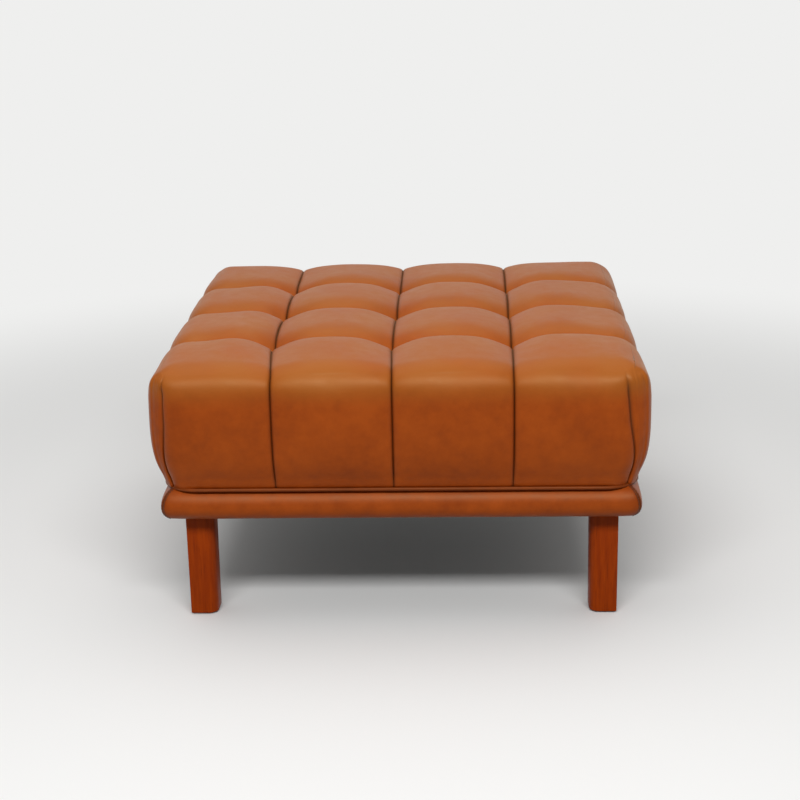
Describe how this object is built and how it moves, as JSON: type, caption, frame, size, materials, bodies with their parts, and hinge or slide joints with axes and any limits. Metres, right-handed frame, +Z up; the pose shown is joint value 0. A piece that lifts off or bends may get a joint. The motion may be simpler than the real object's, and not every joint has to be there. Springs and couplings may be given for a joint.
{
  "type": "ottoman coffee table",
  "caption": "Square low leather ottoman used as a coffee table, biscuit-tufted cushion on a padded band base with short square wood legs.",
  "frame": {"origin": "on the floor under the middle of the ottoman", "axes": "+Z up, +X to the right along the front, +Y from the front to the back"},
  "size_m": [0.9, 0.9036, 0.494],
  "materials": {
    "cushion_leather": "satin",
    "welt_leather": "satin",
    "band_leather": "satin",
    "polyester_fibre": "matte",
    "seat_foam": "matte",
    "cotton_tape": "matte",
    "plywood": "matte",
    "frame_wood": "matte",
    "black_cambric": "matte",
    "stained_wood": "satin",
    "zinc_plated_steel": "satin",
    "nylon": "matte"
  },
  "bodies": {
    "root": {"cover_strip_left": "cushion_leather", "cover_strip_mid_left": "cushion_leather", "cover_strip_mid_right": "cushion_leather", "cover_strip_right": "cushion_leather", "welt": "welt_leather", "band_cover_front": "band_leather", "band_cover_right": "band_leather", "band_cover_back": "band_leather", "band_cover_left": "band_leather", "fibre_wrap": "polyester_fibre", "band_padding_front": "polyester_fibre", "band_padding_right": "polyester_fibre", "band_padding_back": "polyester_fibre", "band_padding_left": "polyester_fibre", "foam_core": "seat_foam", "tuft_tapes": "cotton_tape", "top_board": "plywood", "rail_front": "frame_wood", "rail_back": "frame_wood", "rail_left": "frame_wood", "rail_right": "frame_wood", "cross_rail_left": "frame_wood", "cross_rail_right": "frame_wood", "corner_block_front_left": "frame_wood", "corner_block_front_right": "frame_wood", "corner_block_back_right": "frame_wood", "corner_block_back_left": "frame_wood", "dust_cover": "black_cambric", "leg_front_left": "stained_wood", "leg_front_right": "stained_wood", "leg_back_right": "stained_wood", "leg_back_left": "stained_wood", "hanger_bolts": "zinc_plated_steel", "tee_nuts": "zinc_plated_steel", "glides": "nylon"}
  },
  "joints": []
}
